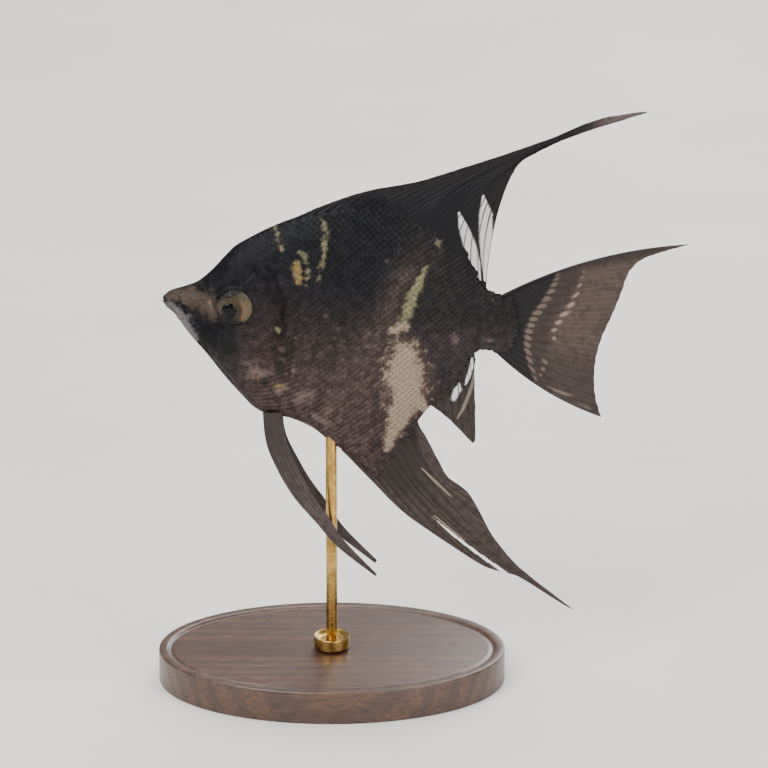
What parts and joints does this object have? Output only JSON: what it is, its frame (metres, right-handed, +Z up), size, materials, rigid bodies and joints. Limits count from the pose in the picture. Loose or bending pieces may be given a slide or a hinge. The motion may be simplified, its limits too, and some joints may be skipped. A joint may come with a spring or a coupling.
{
  "type": "freshwater angelfish display model",
  "caption": "Life-size freshwater angelfish with tall swept fins and long feelers, posed level on a rod above an oval base, as a museum display model.",
  "frame": {"origin": "centre of the underside of the oval base, where it rests on a surface, straight below the rod", "axes": "+Z up; the fish faces -X with its left side towards -Y; the base's long axis is X"},
  "size_m": [0.0933, 0.042, 0.1064],
  "materials": {
    "skin": "wet-looking charcoal and dark brown skin with cream and yellow marks, satin scales",
    "fin": "dark brown-grey rayed membrane, satin",
    "clear_fin": "nearly clear rayed membrane",
    "eye": "gold iris and black pupil under a clear polished surface",
    "stand_wood": "dark stained wood, satin varnish",
    "stand_brass": "fine-brushed brass"
  },
  "bodies": {
    "root": {"head": "skin", "lower_jaw": "skin", "gill_cover_left": "skin", "gill_cover_right": "skin", "trunk": "skin", "tail_stalk": "skin", "dorsal_fin": "fin", "anal_fin": "fin", "tail_fin": "fin", "pelvic_fin_left": "fin", "pelvic_fin_right": "fin", "pectoral_fin_left": "clear_fin", "pectoral_fin_right": "clear_fin", "eye_left": "eye", "eye_right": "eye", "stand_base": "stand_wood", "stand_rod": "stand_brass", "stand_collar": "stand_brass"}
  },
  "joints": []
}
